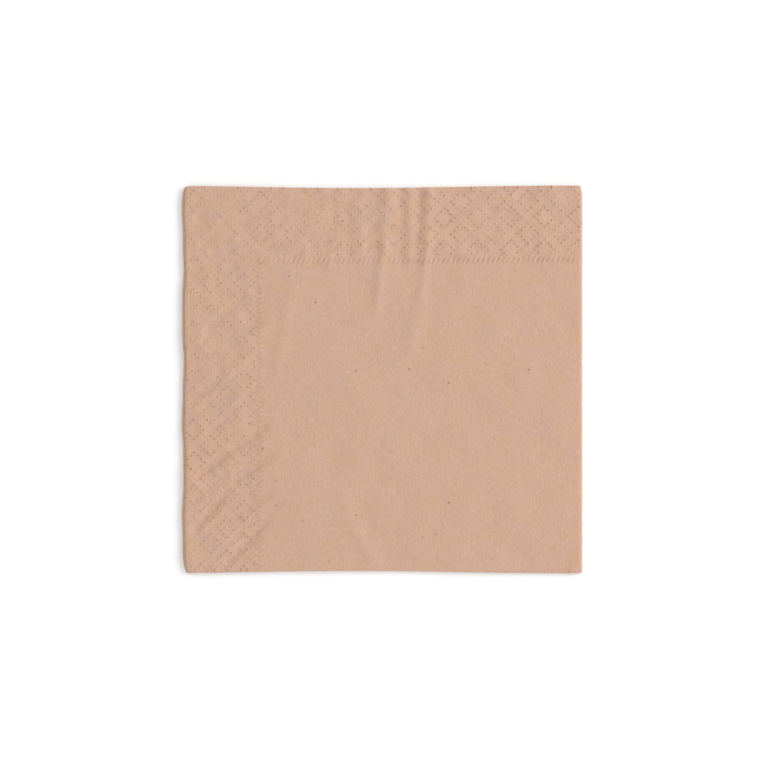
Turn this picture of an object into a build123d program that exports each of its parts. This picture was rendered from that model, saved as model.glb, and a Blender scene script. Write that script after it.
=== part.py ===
from build123d import *
from math import pi
import os

# A paper napkin folded in quarters and lying flat, in millimetres, +Z up.
# It is one sheet. The first fold runs along X at the -Y edge and lays the sheet double.
# The second fold runs along Y at the +X edge and lays that pair double again.
# The cut edges of all four layers therefore lie at -X and +Y.
# The origin is on the surface that it lies on, under the middle of its outline.

# Driving sizes of the folded napkin.
FOLDED_LENGTH = 120.0  # X, from the foremost cut edges to the outside of the second fold
FOLDED_WIDTH = 116.4  # Y, from the outside of the first fold to the cut edges

# The sheet and the air that its folds hold.
SHEET_THICKNESS = 0.25  # two soft plies pressed together at the border, as one sheet
FIRST_FOLD_GAP = 0.2  # air between the two layers that the first fold joins
SECOND_FOLD_GAP = 0.4  # air between the lower pair and the upper pair

# The sheet's four cut corners, stacked at -X +Y.
CORNER_RADIUS = 1.6

# What follows from them.
PAIR_THICKNESS = 2 * SHEET_THICKNESS + FIRST_FOLD_GAP
FIRST_FOLD_RADIUS = PAIR_THICKNESS / 2
SECOND_FOLD_RADIUS = PAIR_THICKNESS + SECOND_FOLD_GAP / 2
MID_HEIGHT = SECOND_FOLD_RADIUS
CUT_EDGE_X = -FOLDED_LENGTH / 2
CUT_EDGE_Y = FOLDED_WIDTH / 2
SECOND_FOLD_START_X = FOLDED_LENGTH / 2 - SECOND_FOLD_RADIUS
# All layers are equally long, and the inner ones go round a tighter second fold.
# So at each end their cut edges stand out past the outer ones by half the difference of the two arcs.
INNER_LAYER_LEAD = pi / 2 * (SHEET_THICKNESS + FIRST_FOLD_GAP)


def slot_open_at_cut_edge(radius):
    """A half slot in Y and Z at the lower pair's height: round at the first fold, square at the +Y cut edge."""
    fold_centre_y = -FOLDED_WIDTH / 2 + FIRST_FOLD_RADIUS
    straight = CUT_EDGE_Y - fold_centre_y
    run = Pos(fold_centre_y + straight / 2, FIRST_FOLD_RADIUS) * Rectangle(straight, 2 * radius)
    turn = Pos(fold_centre_y, FIRST_FOLD_RADIUS) * Circle(radius)
    return run + turn


def pair_section():
    """The sheet's section across the first fold: two layers joined by a round hairpin."""
    inside = slot_open_at_cut_edge(FIRST_FOLD_GAP / 2)
    section = slot_open_at_cut_edge(FIRST_FOLD_RADIUS) - inside
    at_second_fold = Plane(origin=(SECOND_FOLD_START_X, 0, 0), x_dir=(0, 1, 0), z_dir=(1, 0, 0))
    return at_second_fold * section


def slanted_end():
    """What the lower pair's end at -X leaves free: it slants from the inner layer back to the outer one."""
    pair_top = PAIR_THICKNESS
    past = PAIR_THICKNESS
    outline = Polyline(
        (CUT_EDGE_X - past, pair_top),
        (CUT_EDGE_X, pair_top),
        (CUT_EDGE_X + INNER_LAYER_LEAD, 0),
        (CUT_EDGE_X + INNER_LAYER_LEAD, -past),
        (CUT_EDGE_X - past, -past),
        close=True,
    )
    return extrude(Plane.XZ * make_face(outline), FOLDED_WIDTH, both=True)


def corner_waste():
    """What the rounding of the cut corners leaves free in the lower pair, carried up along its slanted end."""
    round_centre = Pos(CUT_EDGE_X + INNER_LAYER_LEAD + CORNER_RADIUS, CUT_EDGE_Y - CORNER_RADIUS)
    corner = Pos(-CORNER_RADIUS, CORNER_RADIUS) * Rectangle(2 * CORNER_RADIUS, 2 * CORNER_RADIUS)
    waste = round_centre * (corner - Circle(CORNER_RADIUS))
    rise = Vector(-INNER_LAYER_LEAD, 0, PAIR_THICKNESS)
    return extrude(waste, rise.length, dir=rise)


def folded_sheet():
    """The pair carried along the bottom, round the second fold and back along the top."""
    section = pair_section()
    run = extrude(section, SECOND_FOLD_START_X - CUT_EDGE_X, dir=(-1, 0, 0))
    lower = run - slanted_end() - corner_waste()
    fold_line = Axis((SECOND_FOLD_START_X, 0, MID_HEIGHT), (0, -1, 0))
    turn = revolve(section, fold_line, 180)
    upper = mirror(lower, Plane.XY.offset(MID_HEIGHT))
    return lower + turn + upper


os.makedirs("parts", exist_ok=True)
export_step(folded_sheet(), "parts/folded_sheet.step")
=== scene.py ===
"""A brown paper cocktail napkin, folded in quarters and lying flat, with a dotted border along its cut edges.

The napkin is one mesh with an outer and an inner side. Its shape is worked out in two steps. The flat sheet is
a lattice of points, with more of them where the border is pressed in. Each point is then carried round the two
folds to its place in the stack of four layers, and the stack is given the puckers and furrows of soft tissue.
"""
from math import pi

import bpy
import numpy as np
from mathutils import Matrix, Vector


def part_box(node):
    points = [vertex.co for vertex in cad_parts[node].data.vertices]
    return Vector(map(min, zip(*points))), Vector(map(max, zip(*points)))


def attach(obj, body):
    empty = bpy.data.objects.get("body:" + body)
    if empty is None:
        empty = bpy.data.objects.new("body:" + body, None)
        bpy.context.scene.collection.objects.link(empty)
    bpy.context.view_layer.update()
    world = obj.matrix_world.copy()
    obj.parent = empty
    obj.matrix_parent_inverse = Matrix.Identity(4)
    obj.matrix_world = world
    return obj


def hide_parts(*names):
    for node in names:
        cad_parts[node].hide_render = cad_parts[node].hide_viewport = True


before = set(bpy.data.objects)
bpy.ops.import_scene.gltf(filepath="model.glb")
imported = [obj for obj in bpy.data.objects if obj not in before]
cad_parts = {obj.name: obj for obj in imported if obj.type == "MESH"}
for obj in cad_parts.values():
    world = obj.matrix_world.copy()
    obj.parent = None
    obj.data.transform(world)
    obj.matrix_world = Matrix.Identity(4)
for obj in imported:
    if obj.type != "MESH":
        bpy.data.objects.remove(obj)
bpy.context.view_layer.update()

MM = 0.001

# ---------------------------------------------------------------- sizes, in millimetres
LOW, HIGH = (np.array(corner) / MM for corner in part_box("folded_sheet"))
LENGTH, _, HEIGHT = HIGH - LOW

SHEET = 0.25  # thickness of the two plies together
FIRST_FOLD_GAP = 0.2  # air inside the first fold
PAIR = 2 * SHEET + FIRST_FOLD_GAP
FIRST_RADIUS = (SHEET + FIRST_FOLD_GAP) / 2  # first fold, to the middle of the sheet
SECOND_RADIUS = (HEIGHT - PAIR) / 2  # second fold, to the middle of the pair
CORNER_RADIUS = 1.6
RIM_OUT = 0.05  # how far the middle of a cut edge stands out

# The flat sheet, measured from the cut edges of its top quarter. s goes towards the second fold, and r towards
# the first. The lengths come from the folded outline and the tissue that goes round the folds.
SECOND_FOLD_X = HIGH[0] - HEIGHT / 2
FIRST_FOLD_Y = LOW[1] + PAIR / 2
HALF_S = SECOND_FOLD_X - LOW[0] + pi / 2 * (SECOND_RADIUS - FIRST_RADIUS)
HALF_R = HIGH[1] - FIRST_FOLD_Y + pi / 2 * FIRST_RADIUS
TOP_RUN_S = HALF_S - pi / 2 * (SECOND_RADIUS + FIRST_RADIUS)
TOP_RUN_R = HALF_R - pi / 2 * FIRST_RADIUS

# The lattice. A tile is one place of the border's pattern, about 1 mm square.
STEPS = 4  # lattice steps in a tile
RUN_TILES = 118  # tiles from a cut edge to where a fold begins
RUN = RUN_TILES * STEPS
FOLD = 8  # lattice steps from there to the fold's line
HALF = RUN + FOLD
ALL = 2 * HALF
COARSE = 8  # lattice steps in a cell that no pattern needs
TILE_S, TILE_R = TOP_RUN_S / RUN_TILES, TOP_RUN_R / RUN_TILES

# The pressed border.
DOT_TILES = 21  # tiles of dots, from the cut edge inwards
LINE_TILES = 3  # tiles that the line of slanted bars takes beyond them
RING_TILE_S, RING_TILE_R = 12, 14  # the tile in the middle of one ring
RING_REPEAT = 10  # tiles from ring to ring, with another ring midway
RING_REACH = 3  # tiles from a ring's middle to its pits, counted along the rows
PIT_RADII = (0.40, 0.27, 0.14)  # mm, the pit's rim and two steps down
PIT_DEPTHS = (-0.3, 0.35, 0.9)  # share of the full depth there; the rim stands a little proud
PIT_DEPTH = 0.19
PIT_DRIFT = 0.07  # mm, how far a pit may lie off its place
PIT_UNEVEN = 0.35  # share by which a pit may be deeper or shallower
BAR_PITCH = 1.5
BAR_DEPTH = 0.18
BAR_LENGTH = 2.1
BAR_SLANT_TOP, BAR_SLANT_SIDE = 0.62, 0.30  # mm along the row for each mm across it
SIDE_BARS = 1.3  # share of the depth that the side's row has
LINE_MIDDLE = (DOT_TILES + LINE_TILES / 2) * TILE_R
PIT_POINTS = 8 * len(PIT_RADII) + 1
DEEPEST = 0.85  # share of the tissue's thickness that a pit may go down

# The soft outline.
BOW, BOW_MIDDLE, BOW_REACH = 0.72, -8, 62  # how far the top and bottom edges bow in, round which x, how widely
LEFT_FADE = 7  # mm from the left edge over which its waves die away
LOWER_LEFT = (0.8, 1.3, 4)  # how far the corner is drawn in, and the distances in y and x over which that fades
UPPER_RIGHT = (0.5, 0.8, 3)

NAPKIN_SHARE = 0.52  # share of the view's width that the napkin fills


# ---------------------------------------------------------------- small helpers
def smooth(x, low, high):
    """0 below low, 1 above high, and an even S between them."""
    t = np.clip((x - low) / (high - low), 0, 1)
    return t * t * (3 - 2 * t)


def slow_noise(x, y, wavelength, seed, waves=9):
    """Adds plane waves of about one wavelength in seeded directions. The result stays mostly within -1 to 1."""
    draw = np.random.default_rng(seed)
    angle = draw.uniform(0, 2 * pi, waves)
    pace = 2 * pi / (wavelength * draw.uniform(0.7, 1.5, waves))
    start = draw.uniform(0, 2 * pi, waves)
    total = np.zeros(np.shape(x))
    for a, k, p in zip(angle, pace, start):
        total += np.sin(k * (x * np.cos(a) + y * np.sin(a)) + p)
    return total / np.sqrt(waves)


# ---------------------------------------------------------------- the flat sheet's lattice
def flat_place(steps, run, half):
    """Length along the sheet at a lattice step: even over each run, and tighter round the fold."""
    return np.interp(steps, [0, RUN, HALF, ALL - RUN, ALL], [0, run, half, 2 * half - run, 2 * half])


def is_pit(tile_s, tile_r):
    """Twelve pits lie three tiles from a ring's middle, counted along rows.

    Rings repeat every ten tiles, with another midway. Only the border has pits, and the folds have none.
    """
    half_way = RING_REPEAT // 2
    a = np.abs((tile_s - RING_TILE_S + half_way) % RING_REPEAT - half_way)
    b = np.abs((tile_r - RING_TILE_R + half_way) % RING_REPEAT - half_way)
    midway = RING_REPEAT - a - b
    in_ring = (a + b == RING_REACH) | (midway == RING_REACH)
    pressed = ((tile_s < DOT_TILES) | (tile_r < DOT_TILES)) & (tile_s < RUN_TILES) & (tile_r < RUN_TILES)
    return in_ring & pressed


def cells(low_s, high_s, low_r, high_r, step_s, step_r):
    """Lower corners of the cells that fill a rectangle of the lattice, as two rows, and the cells' size."""
    corner_s, corner_r = np.meshgrid(
        np.arange(low_s, high_s, step_s), np.arange(low_r, high_r, step_r), indexing="ij"
    )
    return corner_s.ravel(), corner_r.ravel(), step_s, step_r


def border_tiles():
    """Tiles of the dotted border on the top quarter, as those that hold a pit and those that don't."""
    tile_s, tile_r = np.meshgrid(np.arange(RUN_TILES), np.arange(RUN_TILES), indexing="ij")
    border = (tile_s < DOT_TILES) | (tile_r < DOT_TILES)
    pit = is_pit(tile_s, tile_r)
    return (tile_s[pit], tile_r[pit]), (tile_s[border & ~pit], tile_r[border & ~pit])


def outer_cells(plain_tiles):
    """Cells of the outer side: small in the top quarter's border and round the folds, and large elsewhere."""
    line, inside, past = DOT_TILES * STEPS, (DOT_TILES + LINE_TILES) * STEPS, ALL - RUN
    half_tile = STEPS // 2
    tile_s, tile_r = plain_tiles
    quarter_s = np.repeat(tile_s * STEPS, 4) + np.tile([0, 0, half_tile, half_tile], len(tile_s))
    quarter_r = np.repeat(tile_r * STEPS, 4) + np.tile([0, half_tile, 0, half_tile], len(tile_r))
    top_quarter = [
        (quarter_s, quarter_r, half_tile, half_tile),
        cells(line, inside, line, inside, 1, 1),
        cells(inside, RUN, line, inside, 1, 2),
        cells(line, inside, inside, RUN, 2, 1),
        cells(inside, RUN, inside, RUN, STEPS, STEPS),
    ]
    return top_quarter + fold_cells() + [
        cells(past, ALL, 0, RUN, COARSE, COARSE),
        cells(0, RUN, past, ALL, COARSE, COARSE),
        cells(past, ALL, past, ALL, COARSE, COARSE),
    ]


def fold_cells():
    """Narrow cells across both folds, and small ones where they cross."""
    past = ALL - RUN
    return [
        cells(RUN, past, 0, RUN, 1, COARSE),
        cells(RUN, past, past, ALL, 1, COARSE),
        cells(0, RUN, RUN, past, COARSE, 1),
        cells(past, ALL, RUN, past, COARSE, 1),
        cells(RUN, past, RUN, past, 1, 1),
    ]


def inner_cells():
    """Cells of the sheet's inner side, which the first fold hides."""
    past = ALL - RUN
    quarters = [cells(a, a + RUN, b, b + RUN, COARSE, COARSE) for a in (0, past) for b in (0, past)]
    return quarters + fold_cells()


def points_in_use(zones):
    """Marks the lattice points that are a corner of some cell."""
    used = np.zeros((ALL + 1, ALL + 1), bool)
    for s, r, step_s, step_r in zones:
        for add_s in (0, step_s):
            for add_r in (0, step_r):
                used[s + add_s, r + add_r] = True
    return used


def outline_walk(step_s, step_r):
    """Lattice steps once round a cell, starting at its lower corner."""
    walk_s = [*range(step_s), *[step_s] * step_r, *range(step_s, 0, -1), *[0] * step_r]
    walk_r = [*[0] * step_s, *range(step_r), *[step_r] * step_s, *range(step_r, 0, -1)]
    return np.array(walk_s), np.array(walk_r)


def cell_faces(zones, number):
    """Each cell's face takes every point in use on its outline, so cells of different sizes meet."""
    faces = []
    for s, r, step_s, step_r in zones:
        walk_s, walk_r = outline_walk(step_s, step_r)
        faces.append(number[s[:, None] + walk_s, r[:, None] + walk_r])
    return faces


def pit_faces(pit_tiles, number, first):
    """Faces of the pits: from eight points on the tile's outline, over three rings of eight, to the middle.

    A tile's side that lies on a cut edge, or where a fold begins, has no middle point in use. The two faces
    that would share it stay apart there, by a gap about 1 mm long and 0.1 mm wide.
    """
    count = len(pit_tiles[0])
    walk_s, walk_r = outline_walk(STEPS, STEPS)
    edge = number[pit_tiles[0][:, None] * STEPS + walk_s, pit_tiles[1][:, None] * STEPS + walk_r]
    own = first + np.arange(count)[:, None] * PIT_POINTS + np.arange(PIT_POINTS)
    rings, middle = own[:, :-1].reshape(count, len(PIT_RADII), 8), own[:, -1:]
    nxt = np.roll(np.arange(8), -1)
    corners, between = edge[:, 0::2], edge[:, 1::2]
    sector = [corners, between, corners[:, nxt], rings[:, 0][:, nxt], rings[:, 0]]
    faces = [np.stack(sector, axis=2).reshape(-1, 5)]
    for outer, inner in ((0, 1), (1, 2)):
        quad = [rings[:, outer], rings[:, outer][:, nxt], rings[:, inner][:, nxt], rings[:, inner]]
        faces.append(np.stack(quad, axis=2).reshape(-1, 4))
    tip = [rings[:, 2], rings[:, 2][:, nxt], np.repeat(middle, 8, axis=1)]
    faces.append(np.stack(tip, axis=2).reshape(-1, 3))
    return faces


def pit_points(pit_tiles):
    """Flat places and depths of each pit's points: three rings of eight, then the middle."""
    angle = pi / 4 * np.arange(8) - 3 * pi / 4
    add_s = np.concatenate([radius * np.cos(angle) for radius in PIT_RADII] + [[0]])
    add_r = np.concatenate([radius * np.sin(angle) for radius in PIT_RADII] + [[0]])
    share = np.concatenate([np.full(8, depth) for depth in PIT_DEPTHS] + [[1.0]])
    draw = np.random.default_rng(8)
    drift_s, drift_r, uneven = draw.uniform(-1, 1, (3, len(pit_tiles[0]), 1))
    s = (pit_tiles[0][:, None] + 0.5) * TILE_S + add_s + PIT_DRIFT * drift_s
    r = (pit_tiles[1][:, None] + 0.5) * TILE_R + add_r + PIT_DRIFT * drift_r
    return s.ravel(), r.ravel(), (share * (1 + PIT_UNEVEN * uneven)).ravel()


# ---------------------------------------------------------------- from flat to folded
def round_corners(s, r):
    """Squeezes the sheet's four square corners into round ones, by the map from a square to a disc."""
    full_s, full_r = 2 * HALF_S, 2 * HALF_R
    in_s = np.clip(CORNER_RADIUS - np.minimum(s, full_s - s), 0, None)
    in_r = np.clip(CORNER_RADIUS - np.minimum(r, full_r - r), 0, None)
    less_s = in_s * (1 - np.sqrt(1 - np.minimum(in_r / CORNER_RADIUS, 1) ** 2 / 2))
    less_r = in_r * (1 - np.sqrt(1 - np.minimum(in_s / CORNER_RADIUS, 1) ** 2 / 2))
    return s + np.sign(HALF_S - s) * less_s, r + np.sign(HALF_R - r) * less_r


def folded(s, r, out):
    """Carries flat points round both folds. out is the distance from the sheet's middle, positive outwards.

    Across the first fold the sheet is a straight run, a half circle and a straight run. That gives the distance
    y and the height w above the middle of the pair. The pair then takes the same kind of path round the second
    fold, where w adds to the radius. So inner layers turn more tightly, and their cut edges stand out further.
    """
    turn = np.clip((r - HALF_R) / FIRST_RADIUS, -pi / 2, pi / 2)
    straight = np.clip(np.abs(r - HALF_R) - pi / 2 * FIRST_RADIUS, 0, None)
    radius = FIRST_RADIUS + out
    y = FIRST_FOLD_Y + straight - radius * np.cos(turn)
    middle = -FIRST_RADIUS * np.sin(turn)
    w = -radius * np.sin(turn)
    turn = np.clip((HALF_S - s) / (SECOND_RADIUS + middle), -pi / 2, pi / 2)
    straight = np.clip(np.abs(s - HALF_S) - pi / 2 * (SECOND_RADIUS + middle), 0, None)
    x = SECOND_FOLD_X - straight + (SECOND_RADIUS + w) * np.cos(turn)
    z = HEIGHT / 2 + (SECOND_RADIUS + w) * np.sin(turn)
    return x, y, z


# ---------------------------------------------------------------- softness
# Creases in the top of the stack: start x, y and end x, y in mm, then height and half-width. A height below 0
# is a furrow. The first list is mostly the puckers that run in from the top edge, where the pressed border
# draws the tissue together. The second lies mostly slantwise in the left border. A height of 1 stands for its
# list's scale, in mm.
PUCKER_SCALE, FURROW_SCALE = 1.85, 5.2
PUCKERS = [
    (-15.4, 60, -15.0, 46, -0.13, 1.5),
    (-6.4, 60, -6.2, 33, 0.12, 1.5),
    (-10.2, 60, -10.4, 36, -0.07, 1.6),
    (1.6, 60, 0.6, 40, 0.26, 1.8),
    (0.6, 42, -2.2, 20, 0.25, 1.3),
    (5.2, 60, 5.3, 36, -0.16, 1.5),
    (8.3, 60, 8.4, 36, 0.16, 1.2),
    (11.0, 60, 10.8, 44, -0.16, 1.2),
    (13.9, 60, 13.4, 40, 0.26, 1.6),
    (13.6, 42, 11.6, 25, 0.25, 1.2),
    (11.8, 26, 8.2, 8, 0.15, 2.2),
    (22.7, 44, 24.4, 25, 0.05, 1.2),
    (29.3, 45, 29.6, 35, 0.06, 1.2),
    (-22.6, 50, -23.2, 34, 0.07, 1.4),
    (-14.9, 44, -15.9, 34, 0.12, 1.2),
    (-33.9, 44, -34.2, 35, 0.06, 1.0),
]
FURROWS = [
    (-53, 14.5, -42, 25, -0.10, 1.1),
    (-58, -6, -49.5, -1.5, -0.13, 1.2),
    (-59, -12, -44, -3, -0.08, 1.6),
    (-55, -28.5, -35, -14, -0.16, 1.3),
    (-45, -31, -33, -22.5, -0.13, 1.4),
    (-57, -46, -47, -34, -0.12, 1.3),
    (-43, -40, -33.5, -35, -0.10, 1.2),
    (-47, -55, -35, -43, -0.12, 1.3),
    (-48, 1, -38, 9, 0.07, 1.8),
    (-42, 9, -33, 18, 0.08, 1.8),
    (-28.2, 24, -30.2, 11, 0.055, 1.8),
    (-30.2, 12, -32.4, 0, 0.05, 1.6),
    (-12.5, -34, -8.4, -46, 0.055, 2.0),
    (-8.4, -46, -2.0, -56, 0.06, 1.8),
    (35, 1, 41, -5, -0.04, 0.9),
]


# Slow waves in the loose layers: height in mm, wavelength in mm, seed.
SWELL = [(0.12, 34, 3), (0.08, 11, 4), (0.012, 4, 5)]
BORDER_LUMPS = [(0.12, 7.5, 6), (0.05, 3.5, 7)]
OPEN_EDGE_DROP = 0.06  # mm that the cut edges lie lower than the rest
BORDER_WIDTH = 21  # mm from the cut edges over which the border is lumpy, and then fades out


def waves(x, y, kinds):
    """Adds slow waves of several sizes."""
    return sum(height * slow_noise(x, y, wavelength, seed=seed) for height, wavelength, seed in kinds)


def crease(x, y, start_x, start_y, end_x, end_y, height, half_width):
    """A ridge with a bell-shaped section along a straight line, which fades away past both ends."""
    run_x, run_y = end_x - start_x, end_y - start_y
    length = np.hypot(run_x, run_y)
    along = ((x - start_x) * run_x + (y - start_y) * run_y) / length
    beside = ((x - start_x) * run_y - (y - start_y) * run_x) / length
    fade = smooth(along, -2.5, 2.5) * (1 - smooth(along, length - 2.5, length + 2.5))
    return height * np.exp(-((beside / half_width) ** 2)) * fade


def rise(x, y):
    """Height of the top of the stack above its flat place: puckers, furrows and the swell of loose layers."""
    puckers = PUCKER_SCALE * sum(crease(x, y, *line) for line in PUCKERS)
    furrows = FURROW_SCALE * sum(crease(x, y, *line) for line in FURROWS)
    from_edges = smooth(x, LOW[0], LOW[0] + 14) * (1 - smooth(y, HIGH[1] - 14, HIGH[1]))
    from_cut = np.minimum(x - LOW[0], HIGH[1] - y)
    in_border = 1 - smooth(from_cut, BORDER_WIDTH, BORDER_WIDTH + 4)
    lumps = waves(x, y, BORDER_LUMPS) * in_border
    return puckers + furrows + waves(x, y, SWELL) + lumps + OPEN_EDGE_DROP * from_edges


def soften(x, y, z):
    """Gives the folded stack its puckers and its soft outline. The top rises fully and the bottom not at all.

    The top and bottom edges bow inwards, as a squared cosine along x. The left edge waves in and out, as two
    sines along y that die away inwards. Two corners are drawn in.
    """
    share = np.clip((z - SHEET / 2) / (HEIGHT - SHEET), 0, 1)
    lift = share * rise(x, y)
    from_left, from_right = x - LOW[0], HIGH[0] - x
    middle_x = (x - BOW_MIDDLE) / BOW_REACH
    bow = BOW * np.cos(pi / 2 * np.clip(middle_x, -1, 1)) ** 2
    move_y = -bow * y / HIGH[1]
    edge_wave = 0.22 * np.sin(2 * pi * (y + 4) / 31) + 0.10 * np.sin(2 * pi * (y - 7) / 13 + 3 * share)
    move_x = edge_wave * np.exp(-from_left / LEFT_FADE)
    drawn, fade_y, fade_x = LOWER_LEFT
    move_x += drawn * np.exp(-(y - LOW[1]) / fade_y) * np.exp(-from_left / fade_x)
    drawn, fade_y, fade_x = UPPER_RIGHT
    move_x -= drawn * np.exp(-(HIGH[1] - y) / fade_y) * np.exp(-from_right / fade_x)
    return x + move_x, y + move_y, z + lift


def press_strength(x, y):
    """How deep the border is pressed, from 0 to 1: deepest towards the right of the top border, and uneven."""
    across = 0.78 + 0.3 * smooth(x, -35, 25)
    down = 0.85 + 0.2 * smooth(-y, -10, 30)
    top = y > HIGH[1] - (DOT_TILES + LINE_TILES) * TILE_R
    uneven = 0.18 * slow_noise(x, y, 22, seed=11) + 0.12 * slow_noise(x, y, 6, seed=12)
    return np.clip(np.where(top, across, down) + uneven, 0.3, 1.25)


def bars(s, r):
    """The line inside the dots: slanted bars in a row, as a cosine across them that fades at the sides."""
    window_r = np.cos(pi / 2 * np.clip(2 * (r - LINE_MIDDLE) / BAR_LENGTH, -1, 1)) ** 0.5
    window_s = np.cos(pi / 2 * np.clip(2 * (s - LINE_MIDDLE) / BAR_LENGTH, -1, 1)) ** 0.5
    along_s = np.cos(2 * pi * (s + BAR_SLANT_TOP * (r - LINE_MIDDLE)) / BAR_PITCH)
    along_r = np.cos(2 * pi * (r + BAR_SLANT_SIDE * (s - LINE_MIDDLE)) / BAR_PITCH)
    top_row = along_s * window_r * smooth(s, LINE_MIDDLE - 1, LINE_MIDDLE)
    side_row = along_r * window_s * smooth(r, LINE_MIDDLE - 1, LINE_MIDDLE)
    on_top_quarter = (s < TOP_RUN_S) & (r < TOP_RUN_R)
    return np.where(on_top_quarter, BAR_DEPTH * (top_row + SIDE_BARS * side_row), 0)


# ---------------------------------------------------------------- the mesh
def numbered(used, first):
    """Numbers the points in use from first, and gives -1 to the others."""
    number = np.full(used.shape, -1)
    number[used] = first + np.arange(used.sum())
    return number


def sheet_edge():
    """Lattice points once round the whole sheet, with the direction that points off the sheet at each."""
    walk_s, walk_r = outline_walk(ALL, ALL)
    off_s = (walk_s == ALL).astype(int) - (walk_s == 0)
    off_r = (walk_r == ALL).astype(int) - (walk_r == 0)
    return walk_s, walk_r, off_s, off_r


def add_mesh(name, points, faces):
    """Makes an object from points in mm and padded rows of corner numbers, where -1 is no corner."""
    corners = np.concatenate([rows[rows >= 0] for rows in faces])
    sizes = np.concatenate([(rows >= 0).sum(axis=1) for rows in faces])
    mesh = bpy.data.meshes.new(name)
    mesh.vertices.add(len(points))
    mesh.vertices.foreach_set("co", (points * MM).astype(np.float32).ravel())
    mesh.loops.add(len(corners))
    mesh.loops.foreach_set("vertex_index", corners.astype(np.int32))
    mesh.polygons.add(len(sizes))
    mesh.polygons.foreach_set("loop_start", np.concatenate([[0], np.cumsum(sizes)[:-1]]).astype(np.int32))
    mesh.update(calc_edges=True)
    mesh.shade_smooth()
    made = bpy.data.objects.new(name, mesh)
    bpy.context.collection.objects.link(made)
    return made


def napkin():
    """The folded sheet: an outer side, an inner side and a soft rim that joins them round the cut edges."""
    pit_tiles, plain_tiles = border_tiles()
    outer, inner = outer_cells(plain_tiles), inner_cells()
    use_outer, use_inner = points_in_use(outer), points_in_use(inner)
    edge_s, edge_r, off_s, off_r = sheet_edge()
    on_edge = use_outer[edge_s, edge_r] | use_inner[edge_s, edge_r]
    use_inner[edge_s, edge_r] = use_outer[edge_s, edge_r] = on_edge
    edge_s, edge_r, off_s, off_r = (each[on_edge] for each in (edge_s, edge_r, off_s, off_r))

    outer_number = numbered(use_outer, 0)
    pits_first = use_outer.sum()
    inner_first = pits_first + PIT_POINTS * len(pit_tiles[0])
    inner_number = numbered(use_inner, inner_first)
    rim_first = inner_first + use_inner.sum()
    rim = rim_first + np.arange(len(edge_s))

    steps_s, steps_r = np.nonzero(use_outer)
    outer_s, outer_r = flat_place(steps_s, TOP_RUN_S, HALF_S), flat_place(steps_r, TOP_RUN_R, HALF_R)
    pit_s, pit_r, pit_share = pit_points(pit_tiles)
    steps_s, steps_r = np.nonzero(use_inner)
    inner_s, inner_r = flat_place(steps_s, TOP_RUN_S, HALF_S), flat_place(steps_r, TOP_RUN_R, HALF_R)
    rim_s = flat_place(edge_s, TOP_RUN_S, HALF_S) + RIM_OUT * off_s
    rim_r = flat_place(edge_r, TOP_RUN_R, HALF_R) + RIM_OUT * off_r

    s = np.concatenate([outer_s, pit_s, inner_s, rim_s])
    r = np.concatenate([outer_r, pit_r, inner_r, rim_r])
    out = np.concatenate([
        np.full(len(outer_s) + len(pit_s), SHEET / 2),
        np.full(len(inner_s), -SHEET / 2),
        np.zeros(len(rim_s)),
    ])
    place_s, place_r = round_corners(s, r)
    x, y, z = soften(*folded(place_s, place_r, out))

    pressed = np.zeros(len(s))
    pressed[: len(outer_s)] = bars(outer_s, outer_r)
    pressed[len(outer_s) : len(outer_s) + len(pit_s)] = -PIT_DEPTH * pit_share
    # The limit follows the smooth shape. The coarse inner side doesn't, so some pits still pass through it.
    deepest = -DEEPEST * SHEET * np.clip(1 + rise(x, y) / (HEIGHT - SHEET), 0, 1)
    z = z + np.maximum(pressed * press_strength(x, y), deepest)

    outer_faces = cell_faces(outer, outer_number) + pit_faces(pit_tiles, outer_number, pits_first)
    facing_out = [rows[:, ::-1] for rows in outer_faces]
    inner_faces = cell_faces(inner, inner_number)
    outer_edge, inner_edge = outer_number[edge_s, edge_r], inner_number[edge_s, edge_r]
    onward = np.roll(np.arange(len(rim)), -1)
    rims = [
        np.stack([outer_edge, outer_edge[onward], rim[onward], rim], axis=1),
        np.stack([rim, rim[onward], inner_edge[onward], inner_edge], axis=1),
    ]
    made = add_mesh("folded_napkin", np.stack([x, y, z], axis=1), facing_out + inner_faces + rims)
    flat_mm = made.data.attributes.new("flat_mm", "FLOAT_VECTOR", "POINT")
    flat_mm.data.foreach_set("vector", np.stack([s, r, out], axis=1).astype(np.float32).ravel())
    return made


# ---------------------------------------------------------------- materials
def linear(hex_colour):
    """An sRGB hex colour as linear red, green, blue and alpha."""
    srgb = np.array([int(hex_colour[i : i + 2], 16) for i in (0, 2, 4)]) / 255
    return (*np.where(srgb <= 0.04045, srgb / 12.92, ((srgb + 0.055) / 1.055) ** 2.4), 1.0)


def add(tree, kind, settings=None, give=0, **inputs):
    """Adds a node and gives one of its output sockets, by number or name.

    settings are the node's own properties. Each input is a value or a socket to link from. It is named by its
    own name with _ for a space, or by i and its number.
    """
    node = tree.nodes.new("ShaderNode" + kind)
    for name, value in (settings or {}).items():
        setattr(node, name, value)
    for name, value in inputs.items():
        by_number = name[1:].isdigit()
        socket = node.inputs[int(name[1:]) if by_number else name.replace("_", " ")]
        if isinstance(value, bpy.types.NodeSocket):
            tree.links.new(value, socket)
        else:
            socket.default_value = value
    return node.outputs[give]


PLUS, MINUS, TIMES, OVER = ({"operation": name} for name in ("ADD", "SUBTRACT", "MULTIPLY", "DIVIDE"))
LARGER, BEYOND, BELOW = ({"operation": name} for name in ("MAXIMUM", "GREATER_THAN", "LESS_THAN"))
SIZE, WHOLE, PART, ROOT = ({"operation": name} for name in ("ABSOLUTE", "FLOOR", "FRACT", "SQRT"))
COLOURS = {"data_type": "RGBA"}  # for a Mix node, whose inputs 6 and 7 and output 2 are then the colours


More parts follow.
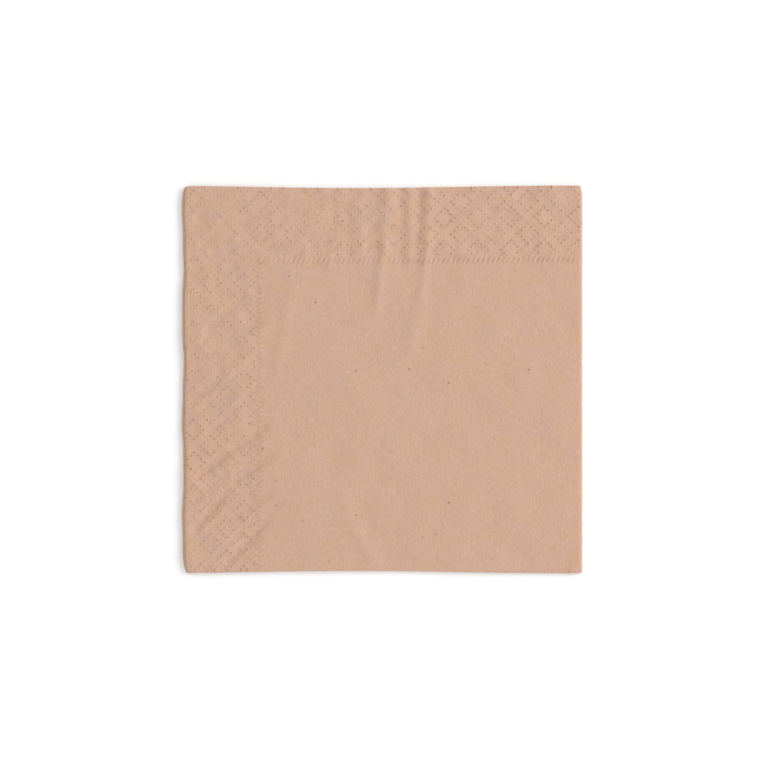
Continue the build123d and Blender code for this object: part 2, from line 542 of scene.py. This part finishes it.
def new_material(name):
    """A material with an empty node tree and its output."""
    made = bpy.data.materials.new(name)
    made.use_nodes = True
    made.node_tree.nodes.clear()
    return made, made.node_tree, made.node_tree.nodes.new("ShaderNodeOutputMaterial")


def hidden_dots(tree):
    """The dotted border on the three quarters that are turned away, as a height between 0 and 1.

    Each quarter is measured from its own cut edges, as the border was pressed into the folded stack. A tile
    holds a pit when its distances from a ring's middle, counted along rows, add up to three, or to ten less
    three.
    """
    flat = add(tree, "Attribute", {"attribute_name": "flat_mm"}, give="Vector")
    parts = add(tree, "SeparateXYZ", i0=flat).node.outputs
    distances, squares, insides = [], [], []
    for part, half, tile, ring in ((0, HALF_S, TILE_S, RING_TILE_S), (1, HALF_R, TILE_R, RING_TILE_R)):
        from_fold = add(tree, "Math", SIZE, i0=add(tree, "Math", MINUS, i0=parts[part], i1=half))
        in_tiles = add(tree, "Math", OVER, i0=add(tree, "Math", MINUS, i0=half, i1=from_fold), i1=tile)
        from_ring = add(tree, "Math", MINUS, i0=add(tree, "Math", WHOLE, i0=in_tiles), i1=ring)
        distances.append(add(tree, "Math", {"operation": "PINGPONG"}, i0=from_ring, i1=RING_REPEAT / 2))
        from_middle = add(tree, "Math", MINUS, i0=add(tree, "Math", PART, i0=in_tiles), i1=0.5)
        squares.append(add(tree, "Math", TIMES, i0=from_middle, i1=from_middle))
        insides.append(add(tree, "Math", BELOW, i0=in_tiles, i1=DOT_TILES))
    rows = add(tree, "Math", PLUS, i0=distances[0], i1=distances[1])
    off_ring = add(tree, "Math", SIZE, i0=add(tree, "Math", MINUS, i0=rows, i1=RING_REPEAT / 2))
    on_ring = RING_REPEAT / 2 - RING_REACH
    holds_pit = add(tree, "Math", {"operation": "COMPARE"}, i0=off_ring, i1=on_ring, i2=0.25)
    from_pit = add(tree, "Math", ROOT, i0=add(tree, "Math", PLUS, i0=squares[0], i1=squares[1]))
    pit = add(tree, "MapRange", i0=from_pit, i1=0.42, i2=0.12)  # from the pit's rim to its floor, in tiles
    in_border = add(tree, "Math", LARGER, i0=insides[0], i1=insides[1])
    turned_s = add(tree, "Math", BEYOND, i0=parts[0], i1=HALF_S)
    turned_r = add(tree, "Math", BEYOND, i0=parts[1], i1=HALF_R)
    hidden = add(tree, "Math", LARGER, i0=turned_s, i1=turned_r)
    shown = add(tree, "Math", TIMES, i0=in_border, i1=hidden)
    pressed = add(tree, "Math", TIMES, i0=add(tree, "Math", TIMES, i0=pit, i1=holds_pit), i1=shown)
    return add(tree, "Math", MINUS, i0=1.0, i1=pressed)


def kraft_tissue():
    """Unbleached two-ply tissue, creped and pressed.

    It gives the eye a matt warm brown with faint pink and straw clouds, fine upright crepe lines, short fibres
    lighter and darker than the ground, and a few dark bark specks.
    """
    made, tree, output = new_material("unbleached_crepe_tissue")
    where = add(tree, "TexCoord", give="Object")
    in_mm = add(tree, "VectorMath", {"operation": "SCALE"}, i0=where, Scale=1 / MM)

    # Clouds of pink and straw, from the mixed pulp, are about 5 mm across.
    clouds = add(tree, "TexNoise", give="Fac", Vector=in_mm, Scale=1 / 5.0, Detail=3.0, Roughness=0.6)
    cloudy = add(tree, "MapRange", i0=clouds, i1=0.35, i2=0.65)
    ground = add(tree, "Mix", COLOURS, give=2, i0=cloudy, i6=linear("C39D81"), i7=linear("C09E8D"))

    # Crepe lines stand 0.45 mm apart and are about three times as long. Real ones are finer and wouldn't show.
    lines = (1 / 0.45, 1 / 1.3, 1 / 0.5)
    stretched = add(tree, "VectorMath", TIMES, i0=in_mm, i1=lines)
    crepe = add(tree, "TexNoise", give="Fac", Vector=stretched, Scale=1.0, Detail=2.0, Roughness=0.55)
    fuzz = add(tree, "TexNoise", give="Fac", Vector=in_mm, Scale=1 / 0.45, Detail=4.0, Roughness=0.7)
    grain = add(tree, "Math", PLUS, i0=crepe, i1=fuzz)
    grainy = add(tree, "MapRange", i0=grain, i1=0.7, i2=1.3)
    fibres = add(tree, "Mix", COLOURS, give=2, i0=grainy, i6=linear("A98468"), i7=linear("D3B3A2"))
    body = add(tree, "Mix", COLOURS, give=2, i0=0.34, i6=ground, i7=fibres)

    # Bark specks are up to 0.9 mm across at their faint outer edge. About one cell of 4 mm in 23 has one.
    specks = add(tree, "TexVoronoi", {"voronoi_dimensions": "2D"}, Vector=in_mm, Scale=1 / 4.0).node.outputs
    chance = add(tree, "SeparateColor", i0=specks["Color"]).node.outputs
    rare = add(tree, "Math", BEYOND, i0=chance[0], i1=0.957)
    near = add(tree, "MapRange", i0=specks["Distance"], i1=0.11, i2=0.05)
    spot = add(tree, "Math", TIMES, i0=rare, i1=near)
    strength = add(tree, "MapRange", i0=chance[1], i3=0.15, i4=0.7)
    darker = add(tree, "Math", TIMES, i0=spot, i1=strength)
    colour = add(tree, "Mix", COLOURS, give=2, i0=darker, i6=body, i7=linear("6E4F38"))

    creped = add(tree, "Bump", Strength=0.6, Distance=0.08 * MM, Height=grain)
    dotted = add(tree, "Bump", Strength=1.0, Distance=0.1 * MM, Height=hidden_dots(tree), Normal=creped)
    surface = add(tree, "BsdfPrincipled", Base_Color=colour, Roughness=0.95, Normal=dotted)
    surface.node.inputs["Specular IOR Level"].default_value = 0.15
    surface.node.inputs["Sheen Weight"].default_value = 0.08
    surface.node.inputs["Sheen Roughness"].default_value = 0.6
    tree.links.new(surface, output.inputs["Surface"])
    return made


def pale_table():
    """A plain white painted board, which only shows the napkin's soft shadow."""
    made, tree, output = new_material("white_painted_board")
    surface = add(tree, "BsdfPrincipled", Base_Color=linear("F7F7F7"), Roughness=0.9)
    tree.links.new(surface, output.inputs["Surface"])
    return made


# ---------------------------------------------------------------- table, light and camera
def table_top():
    """A flat board far wider than the view, just under the napkin."""
    reach, drop = 3000.0, 0.02
    corners = [[-reach, -reach], [reach, -reach], [reach, reach], [-reach, reach]]
    points = np.array([[x, y, -drop] for x, y in corners])
    made = add_mesh("table_top", points, [np.array([[0, 1, 2, 3]])])
    made.data.materials.append(pale_table())


def area_light(name, place, size, power):
    """A square soft light at a place in mm, aimed at the napkin."""
    data = bpy.data.lights.new(name, "AREA")
    data.shape, data.size, data.energy = "SQUARE", size * MM, power
    made = bpy.data.objects.new(name, data)
    made.location = Vector(place) * MM
    made.rotation_euler = made.location.to_track_quat("Z", "Y").to_euler()
    bpy.context.collection.objects.link(made)


def studio():
    """Soft light from the right, an even white surround and true colours."""
    area_light("window_side", (1500, 350, 900), 1100, 18.5)
    world = bpy.data.worlds.new("studio_white")
    world.use_nodes = True
    background = world.node_tree.nodes["Background"]
    background.inputs["Color"].default_value = (1, 1, 1, 1)
    background.inputs["Strength"].default_value = 0.915
    bpy.context.scene.world = world
    bpy.context.scene.view_settings.view_transform = "Standard"


def straight_down_camera():
    """A long lens over the napkin, which fills a little over half of the width."""
    data = bpy.data.cameras.new("overhead")
    data.lens, data.sensor_width = 150, 36
    view_width = LENGTH / NAPKIN_SHARE
    made = bpy.data.objects.new("overhead", data)
    made.location = Vector((0.4, -1.35, HEIGHT + view_width * data.lens / data.sensor_width)) * MM
    bpy.context.collection.objects.link(made)
    bpy.context.scene.camera = made


# ---------------------------------------------------------------- assembly
sheet = napkin()
sheet.data.materials.append(kraft_tissue())
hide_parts("folded_sheet")
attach(sheet, "root")

table_top()
studio()
straight_down_camera()
